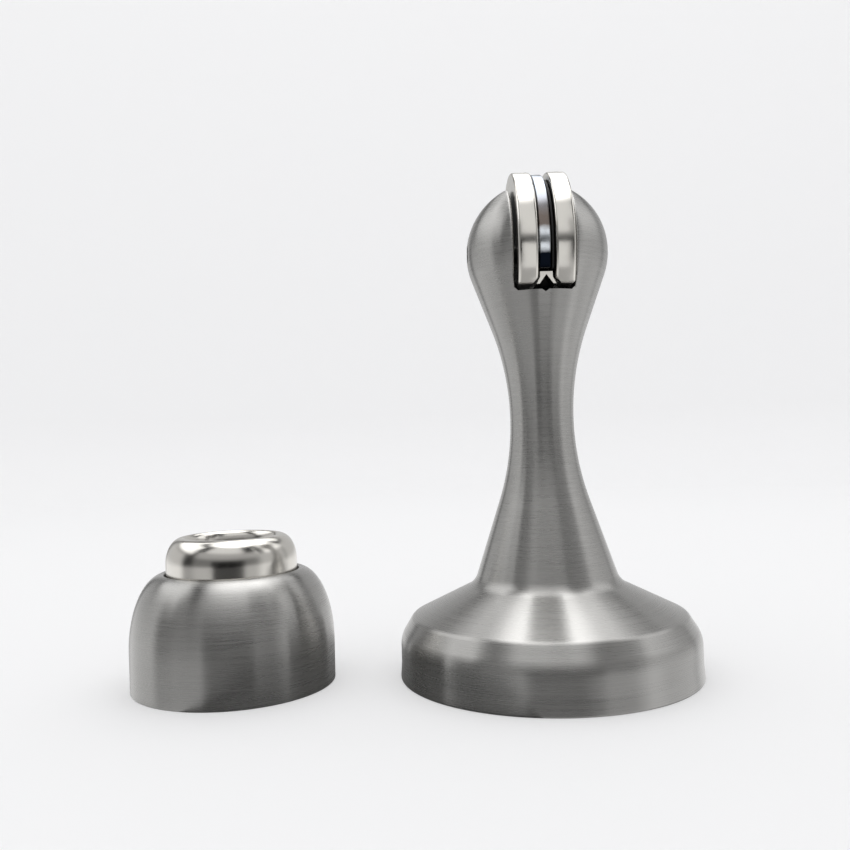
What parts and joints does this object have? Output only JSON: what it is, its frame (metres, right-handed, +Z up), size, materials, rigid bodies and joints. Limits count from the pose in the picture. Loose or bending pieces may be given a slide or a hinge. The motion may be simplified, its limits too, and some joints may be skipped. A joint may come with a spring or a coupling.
{
  "type": "floor door holder",
  "caption": "Turned floor post with a magnet pack in its slotted ball head, beside its domed door catch with a sprung strike cup.",
  "frame": {"origin": "centre of the floor plate's underside, on the floor, on the post's axis", "axes": "+Z up the post; -Y is the side that the magnet faces; the loose catch stands on its door face beside the post, toward -X"},
  "size_m": [0.0946, 0.05, 0.0837],
  "materials": {
    "post_steel": "satin, brushed round the post",
    "catch_steel": "satin, brushed round the shell, a little glossier than the post",
    "pin_steel": "ground flush",
    "polished_nickel": "bright nickel plate",
    "strike_nickel": "bright nickel plate over a drawn cup",
    "plated_magnet": "bright bluish plate",
    "black_plastic": "matt black",
    "nylon": "natural white, matt",
    "brass": "turned",
    "zinc_plate": "bright zinc plate",
    "spring_steel": "drawn wire"
  },
  "bodies": {
    "post": {"post_body": "post_steel", "pivot_pin": "pin_steel", "floor_plate": "zinc_plate", "post_stud": "zinc_plate", "lock_washer": "zinc_plate", "lock_nut": "zinc_plate"},
    "magnet_pack": {"pole_plate_left": "polished_nickel", "pole_plate_right": "polished_nickel", "magnet": "plated_magnet", "magnet_spacer": "black_plastic", "magnet_keeper": "polished_nickel", "pin_sleeve": "brass"},
    "catch": {"catch_shell": "catch_steel", "catch_base": "zinc_plate", "strike_screw": "zinc_plate", "screw_washer": "zinc_plate", "buffer_spring": "spring_steel"},
    "strike": {"strike_cup": "strike_nickel", "guide_bush": "nylon"}
  },
  "joints": [
    {"name": "magnet_rock", "type": "hinge", "parent": "post", "child": "magnet_pack", "pos_m": [0, 0, 0.0703], "axis": [1, 0, 0], "range_deg": [-3, 3]},
    {"name": "catch_lift", "type": "slide", "parent": "post", "child": "catch", "axis": [0, 0, 1], "range_m": [0, 0.1]},
    {"name": "strike_push", "type": "slide", "parent": "catch", "child": "strike", "axis": [0, 0, -1], "range_m": [0, 0.003], "stiffness_N_per_m": 1500, "springref_m": -0.001, "deforming": ["buffer_spring"]}
  ]
}
